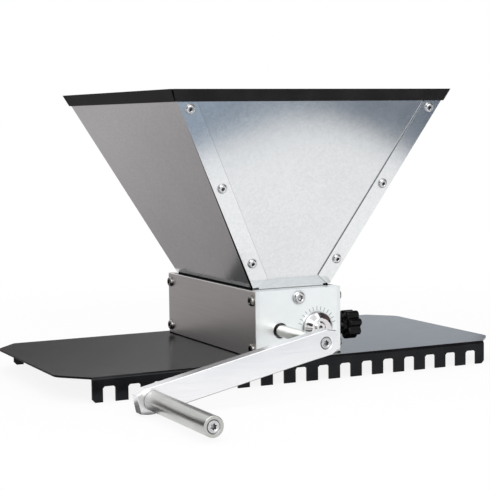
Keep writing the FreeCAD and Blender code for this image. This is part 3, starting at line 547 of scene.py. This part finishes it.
def buttonRings(size):
    head, high, key, pitch = size["head"] / 2, size["high"], size["key"], size["pitch"]
    shank, bottom = size["shank"] / 2, -size["high"] - size["long"]
    flat, rim = buttonForm["flat"], buttonForm["rim"][-1][1]
    tip, runIn, runOut = (buttonForm[part] * pitch for part in ("tip", "runIn", "runOut"))
    rings = [circle(shank - tip, bottom)]
    rings += threadRings(size, bottom + runIn, -high - tip)
    rings += [circle(shank, -high - runOut), circle(shank, -high)]
    rings += [circle(head * wide, -high * low) for wide, low in buttonForm["rim"]]
    rings += [circle(head * (flat + (1 - flat) * cosine), -high * rim * (1 - sine))
              for sine, cosine in quarter(buttonForm["domeSteps"], 1)]
    rings += [circle(key * wide, -high * low) for wide, low in buttonForm["mouth"]]
    rings += [hexagon(key * wide, -high * low) for wide, low in buttonForm["socket"]]
    wide, low = buttonForm["drill"]
    return rings + [circle(key * wide, -high * low)]


def makeButtons(name, size, axisOf):
    shape = bmesh.new()
    for number, solid in enumerate(solidsOf(name)):
        middle = sum(solid, Vector()) / len(solid)
        turn = buttonForm["firstTurn"] + buttonForm["nextTurn"] * number
        addRings(shape, buttonRings(buttonSizes[size]), standOf(solid, axisOf(middle), turn))
    finishPiece(name, shape, "frame")


makeButtons("cover_screws_left", "m6", lambda spot: (-1, 0, 0))
makeButtons("cover_screws_right", "m6", lambda spot: (1, 0, 0))
makeButtons("base_screws", "m6Short", lambda spot: (0, 0, -1))
makeButtons("hopper_bolts_near", "m5", lambda spot: outward(-1))
makeButtons("hopper_bolts_far", "m5", lambda spot: outward(1))
makeButtons("hopper_fix_screws", "m8", lambda spot: (0, math.copysign(1, spot.y), 0))


# nuts with chamfered corners, on the inside of the hopper
nutSizes = {"m5": {"across": 0.0080, "high": 0.0040, "hole": 0.0051},
            "m8": {"across": 0.0130, "high": 0.0065, "hole": 0.0081}}
# layers as shares of the height; the cone that cuts the corners starts at a share of the width
nutForm = {"layers": (0.0, 0.03, 0.06, 0.12, 0.88, 0.94, 0.97, 1.0), "cone": 0.485, "slope": 1.7,
           "bore": ((1.08, 1), (1, 0.94), (1, 0.06), (1.08, 0))}


def nutRings(size):
    across, high, hole = size["across"], size["high"], size["hole"] / 2
    rings = []
    for share in nutForm["layers"]:
        cone = across * nutForm["cone"] + min(share, 1 - share) * high * nutForm["slope"]
        rings.append([Vector((*(spot.xy * min(1, cone / spot.xy.length)), -share * high))
                      for spot in hexagon(across, 0)])
    return rings + [circle(hole * wide, -high * low) for wide, low in nutForm["bore"]]


def makeNuts(name, size, axisOf):
    shape = bmesh.new()
    for solid in solidsOf(name):
        middle = sum(solid, Vector()) / len(solid)
        addRings(shape, nutRings(nutSizes[size]), standOf(solid, axisOf(middle)), around=True)
    finishPiece(name, shape, "frame")


makeNuts("hopper_nuts_near", "m5", lambda spot: -outward(-1))
makeNuts("hopper_nuts_far", "m5", lambda spot: -outward(1))
makeNuts("hopper_fix_nuts", "m8", lambda spot: (0, -math.copysign(1, spot.y), 0))


# countersunk screws with a six lobed socket: one holds the arm, the long one carries the grip
# rim and mouth are steps beyond the head's and the socket's radius, each with a height
flatLook = {"head": 0.0124, "shank": 0.006, "socket": 0.0056, "lobe": 0.0010, "deep": 0.0028,
            "rim": ((-0.0002, -0.0005), (-0.0008, -0.0009), (-0.0010, -0.0002), (-0.0012, 0)),
            "mouth": ((0.0009, 0), (0.0006, -0.0002)), "bevel": ((0.00015, -0.0003), (0, -0.0005)),
            "tip": 0.85, "tipLong": 0.15, "drill": (0.25, 0.0002), "turn": 0.35}


def flatRings(long):
    head, shank, socket = (flatLook[part] / 2 for part in ("head", "shank", "socket"))
    deep = flatLook["deep"]
    drill, drillDeep = flatLook["drill"]
    rings = [circle(shank * flatLook["tip"], -long), circle(shank, -long + shank * flatLook["tipLong"]),
             circle(shank, shank - head)]
    rings += [circle(head + step, height) for step, height in flatLook["rim"]]
    rings += [circle(socket + step, height) for step, height in flatLook["mouth"]]
    rings += [lobes(socket + step, flatLook["lobe"], 6, height, 48)
              for step, height in (*flatLook["bevel"], (0, -deep))]
    return rings + [circle(socket * drill, -deep - drillDeep)]


def makeFlatScrew(name, body):
    shape = bmesh.new()
    solid = solidsOf(name)[0]
    low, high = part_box(name)
    addRings(shape, flatRings(high.y - low.y), standOf(solid, (0, -1, 0), flatLook["turn"]))
    finishPiece(name, shape, body)


makeFlatScrew("crank_screw", "drive")
makeFlatScrew("grip_spindle", "drive")


# turned metal grip, sunk at its end for the spindle's head
gripLook = {"bore": 0.0031, "round": 0.0008, "sink": 0.0063, "roundSteps": 4}


def makeGrip():
    low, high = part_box("grip")
    rim, long = (high.x - low.x) / 2, high.y - low.y
    bore, edge, sink = gripLook["bore"], gripLook["round"], gripLook["sink"]
    turns = list(quarter(gripLook["roundSteps"]))
    rings = [circle(bore, bore - sink), circle(sink, 0)]
    rings += [circle(rim - edge + edge * sine, -edge + edge * cosine) for sine, cosine in turns]
    rings += [circle(rim - edge + edge * cosine, -long + edge - edge * sine) for sine, cosine in turns]
    rings.append(circle(bore, -long))
    shape = bmesh.new()
    addRings(shape, rings, standOf(solidsOf("grip")[0], (0, -1, 0)), around=True)
    finishPiece("grip", shape, "turning_grip")


makeGrip()


# moulded star knobs on the lock studs
knobLook = {"lobes": 7, "lobePoints": 24, "valley": 0.0034, "power": 1.3, "hub": 0.009, "neck": 0.004,
            "neckRound": 0.0004, "round": 0.0022, "roundSteps": 6, "bevel": 0.0006, "hole": 0.0041,
            "dish": 0.0007, "cap": 0.0062, "capRim": 0.0008, "capFloor": 0.3, "turn": 0.2}


def makeKnob(name, body):
    low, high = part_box(name)
    reach, long = (high.z - low.z) / 2, high.x - low.x
    hub, neck, edge, bevel = (knobLook[part] for part in ("hub", "neck", "round", "bevel"))
    cap, dish = knobLook["cap"], knobLook["dish"]
    count = knobLook["lobes"] * knobLook["lobePoints"]

    def star(inset, height):
        return lobes(reach - inset, knobLook["valley"], knobLook["lobes"], height, count, knobLook["power"])

    turns = list(quarter(knobLook["roundSteps"]))
    rings = [circle(knobLook["hole"], -long, count), circle(hub - bevel, -long, count),
             circle(hub, -long + bevel, count), circle(hub, -long + neck - knobLook["neckRound"], count),
             circle(hub + bevel, -long + neck, count)]
    rings += [star(edge - edge * sine, -long + neck + edge * (1 - cosine)) for sine, cosine in turns]
    rings += [star(edge - edge * cosine, -edge + edge * sine) for sine, cosine in turns]
    rings += [circle(cap + knobLook["capRim"], 0, count), circle(cap, -dish, count),
              circle(cap * knobLook["capFloor"], -dish, count)]
    shape = bmesh.new()
    addRings(shape, rings, standOf(solidsOf(name)[0], (1, 0, 0), knobLook["turn"]))
    finishPiece(name, shape, body, 40)


makeKnob("lock_knob_near", "near_lock")
makeKnob("lock_knob_far", "far_lock")


# eccentric bush: a journal in the end plate and a drum that narrows outwards; throw is the bore's offset
drumLook = {"journal": 0.0130, "deep": 0.0147, "gap": 0.0003, "radius": 0.0154, "land": 0.0043,
            "front": 0.0104, "cone": 0.0096, "bore": 0.00605, "edge": 0.0003,
            "throw": (-0.00177, 0.00177), "pointer": 168, "groove": 0.0005}


def drumRing(end, radius, away, shift=(0, 0), groove=0.0, count=120):
    # a ring about the bush's middle, at a distance away from the end plate's face
    points = []
    for number in range(count):
        turn = 360 * number / count
        reach = radius - (groove if turn == drumLook["pointer"] else 0)
        points.append(Vector((
            bodyPlan["bush"][0] + shift[0] + reach * math.cos(math.radians(turn)),
            end * (bodyPlan["face"] + away),
            bodyPlan["bush"][1] + shift[1] + reach * math.sin(math.radians(turn)))))
    return points


def makeDrum(name, end, body):
    journal, radius, front, bore, edge = (drumLook[part] for part in (
        "journal", "radius", "front", "bore", "edge"))
    deep, gap, land, cone = (drumLook[part] for part in ("deep", "gap", "land", "cone"))
    groove, throw = drumLook["groove"], drumLook["throw"]
    rings = [drumRing(end, size, away) for size, away in (
        (journal, -deep), (journal, gap), (radius, gap), (radius, land))]
    rings += [drumRing(end, radius - edge, land + edge, groove=groove),
              drumRing(end, front + edge, cone - edge, groove=groove), drumRing(end, front - edge, cone)]
    rings += [drumRing(end, size, away, throw) for size, away in (
        (bore + edge, cone), (bore, cone - edge), (bore, -deep))]
    shape = bmesh.new()
    addRings(shape, rings, Matrix.Identity(4), around=True)
    finishPiece(name, shape, body, 20)


# the driven side's axle ends just outside the bushes, bevelled and centre drilled
axleLook = {"radius": 0.0060, "stands": 0.0110, "bevel": 0.0018, "hole": 0.0020, "deep": 0.0040}


def makeAxle():
    radius, stands, bevel, hole = (axleLook[part] for part in ("radius", "stands", "bevel", "hole"))
    floor = stands - axleLook["deep"]
    rings = []
    for end in (-1, 1):
        half = [drumRing(end, size, away, drumLook["throw"]) for size, away in (
            (hole / 2, floor), (hole, floor + hole / 2), (hole, stands), (radius - bevel, stands),
            (radius, stands - bevel))]
        rings += half if end < 0 else half[::-1]
    shape = bmesh.new()
    addRings(shape, rings, Matrix.Identity(4))
    finishPiece("idle_axle", shape, "idle")


makeDrum("eccentric_near", -1, "near_bush")
makeDrum("eccentric_far", 1, "far_bush")
makeAxle()
print("screws, nuts, grip, knobs, bushes and axle made")


# stage, light and camera: pale paper that fades into the white of the background
stageLook = {"floorSize": 14.0, "floorTone": 0.9, "paper": 3, "paperVary": 1.01, "sky": 0.8,
             "shadeShare": 0.88, "clear": (0.45, 0.9)}


def seenRays(start):
    # 1 for rays from the camera, from gloss and through glass
    path = [start.node("ShaderNodeLightPath", output=number) for number in (0, 3, 6)]
    return (path[0] + path[1] + path[2]).step(0.1, 0.9, False)


def addSheet(name, points, faces, finish):
    # a flat piece of the studio, which isn't part of the mill
    mesh = bpy.data.meshes.new(name)
    mesh.from_pydata(points, [], faces)
    mesh.materials.append(finish.material)
    sheet = bpy.data.objects.new(name, mesh)
    scene.collection.objects.link(sheet)
    return sheet


def makeFloor():
    finish = Finish("paleFloor", Roughness=0.9, Specular_IOR_Level=0.0)
    tone = stageLook["floorTone"]
    low, high = ((share,) * 3 for share in (tone, tone * stageLook["paperVary"]))
    finish.feed("Base Color", finish.place.noise(stageLook["paper"], 2).blend(low, high))
    x, y, z = finish.place.axes()
    clear = x.maths("SQRT", x * x + y * y).step(*stageLook["clear"])
    share = clear * (1 - stageLook["shadeShare"]) + stageLook["shadeShare"]
    white = finish.base.node("ShaderNodeEmission", None, {"Color": (1, 1, 1), "Strength": 1.0})
    finish.layer(seenRays(finish.base) * share, white)
    half = stageLook["floorSize"] / 2
    corners = [(-half, -half, 0), (half, -half, 0), (half, half, 0), (-half, half, 0)]
    addSheet("floor", corners, [(0, 1, 2, 3)], finish)


def makeSky():
    world = bpy.data.worlds.new("studio")
    scene.world = world
    world.use_nodes = True
    world.node_tree.nodes.clear()
    start = Wire(world.node_tree, None)
    colour = seenRays(start).blend((stageLook["sky"],) * 3, (1.0, 1.0, 1.0))
    light = start.node("ShaderNodeBackground", None, {"Color": colour, "Strength": 1.0})
    start.node("ShaderNodeOutputWorld", None, {"Surface": light})


# grey cards of the studio, which only the mill's gloss sees: tones change along an axis between two places
cardLook = {
    "behind": {"tones": [(0.28, 0.262, 0.265), (0.44, 0.415, 0.42)], "axis": 1, "between": (0.1, 1.0),
               "faces": [[(-2.2, 0.13, 0.001), (0.04, 0.13, 0.001), (0.72, 1.6, 0.001), (-2.2, 1.6, 0.001)],
                         [(-2.2, -0.20, 0.001), (-0.255, -0.20, 0.001), (-0.255, 0.13, 0.001),
                          (-2.2, 0.13, 0.001)]]},
    "back": {"tones": [(0.14, 0.133, 0.136), (0.33, 0.328, 0.336)], "axis": 0, "between": (0.1, 0.9),
             "faces": [[(-2.2, 1.6, 0.001), (0.72, 1.6, 0.001), (0.72, 1.6, 0.45), (-2.2, 1.6, 0.45)]]},
    "right": {"tones": [(0.12, 0.08, 0.083), (0.05, 0.045, 0.045)], "axis": 2, "between": (0.3, 1.7),
              "faces": [[(1.15, -1.2, 0.22), (1.15, 1.2, 0.22), (1.15, 1.2, 2.5), (1.15, -1.2, 2.5)]]},
    "left": {"tones": [(0.07, 0.06, 0.05), (0.03, 0.028, 0.025)], "axis": 2, "between": (0, 0.8),
             "faces": [[(-1.3, 1.4, 0.03), (-1.3, -0.9, 0.03), (-1.3, -0.9, 1.1), (-1.3, 1.4, 1.1)]]},
    # painted shadow: a dark card under the arm and grip, standing in for the shadow on the floor there as the
    # gloss sees it
    "shadeUnder": {"tones": [(0.12, 0.12, 0.12), (0.20, 0.20, 0.20)], "axis": 0, "between": (-0.2, 0),
              "faces": [[(-0.23, -0.212, 0.001), (0.0, -0.212, 0.001), (0.0, -0.16, 0.001),
                         (-0.23, -0.16, 0.001)]]},
    "haze": {"tones": [(0.86, 0.93, 1.02), (0.86, 0.93, 1.02)], "axis": 0, "between": (0, 1),
             "faces": [[(0.72, 1.6, 0.001), (3.0, 1.6, 0.001), (3.0, 1.6, 0.7), (0.72, 1.6, 0.7)]]}}
# the card in front of the mill reaches from far to this edge
floorCard = {"tones": [(0.25, 0.32, 0.41), (0.10, 0.13, 0.175)], "axis": 0, "between": (0.05, 0.45),
             "far": -0.70, "height": 0.001, "edge": [
                 (-0.05, -0.43), (0.083, -0.49), (0.16, -0.525), (0.227, -0.557), (0.276, -0.562),
                 (0.32, -0.545), (0.352, -0.506), (0.37, -0.46), (0.40, -0.38), (0.62, -0.30)]}


def makeCard(name, points, faces, look):
    finish = Finish(name + "Grey", Base_Color=(0, 0, 0), Roughness=1.0, Specular_IOR_Level=0.0,
                    Emission_Strength=1.0)
    along = finish.place.axes()[look["axis"]]
    finish.feed("Emission Color", along.step(*look["between"]).blend(*look["tones"]))
    card = addSheet(name, points, faces, finish)
    card.visible_camera = card.visible_diffuse = card.visible_transmission = card.visible_shadow = False


def makeCards():
    for side, look in cardLook.items():
        points = [spot for face in look["faces"] for spot in face]
        corners = [tuple(range(first, first + 4)) for first in range(0, len(points), 4)]
        makeCard(side + "Card", points, corners, look)
    points = []
    for x, y in floorCard["edge"]:
        points += [(x, y, floorCard["height"]), (x, floorCard["far"], floorCard["height"])]
    faces = [(number, number + 1, number + 3, number + 2) for number in range(0, len(points) - 2, 2)]
    makeCard("floorCard", points, faces, floorCard)


# each panel: name, place, aim, size and power
lampPlan = [
    ("keyPanel", (-0.5, -2.3, 1.5), (0, 0, 0.1), (2.0, 1.4), 22),
    ("fillPanel", (-1.8, -0.8, 1.4), (0, 0, 0.1), (1.6, 1.4), 6),
    ("topPanel", (0.1, 0.3, 2.2), (0, 0, 0), (2.0, 2.0), 6)]


def addLamp(name, place, aim, size, power):
    light = bpy.data.lights.new(name, "AREA")
    light.shape = "RECTANGLE"
    light.size, light.size_y = size
    light.energy = power
    lamp = bpy.data.objects.new(name, light)
    scene.collection.objects.link(lamp)
    lamp.location = place
    lamp.rotation_euler = (Vector(aim) - Vector(place)).to_track_quat("-Z", "Y").to_euler()


# fitted to the photo, with its turns in degrees
cameraPlan = {"place": (-0.66618, -1.35688, 0.25563), "turn": (85.0597, 0.6775, -26.5686),
              "sensor": 36, "lens": 106.224, "shift": (-0.02824, 0.00116), "clip": (0.05, 60)}


def addCamera():
    lens = bpy.data.cameras.new("camera")
    lens.sensor_width, lens.lens = cameraPlan["sensor"], cameraPlan["lens"]
    lens.shift_x, lens.shift_y = cameraPlan["shift"]
    lens.clip_start, lens.clip_end = cameraPlan["clip"]
    camera = bpy.data.objects.new("camera", lens)
    scene.collection.objects.link(camera)
    camera.location = cameraPlan["place"]
    camera.rotation_euler = [math.radians(angle) for angle in cameraPlan["turn"]]
    scene.camera = camera


makeFloor()
makeSky()
makeCards()
for plan in lampPlan:
    addLamp(*plan)
addCamera()
scene.view_settings.view_transform = "Standard"
print("stage, light and camera ready")
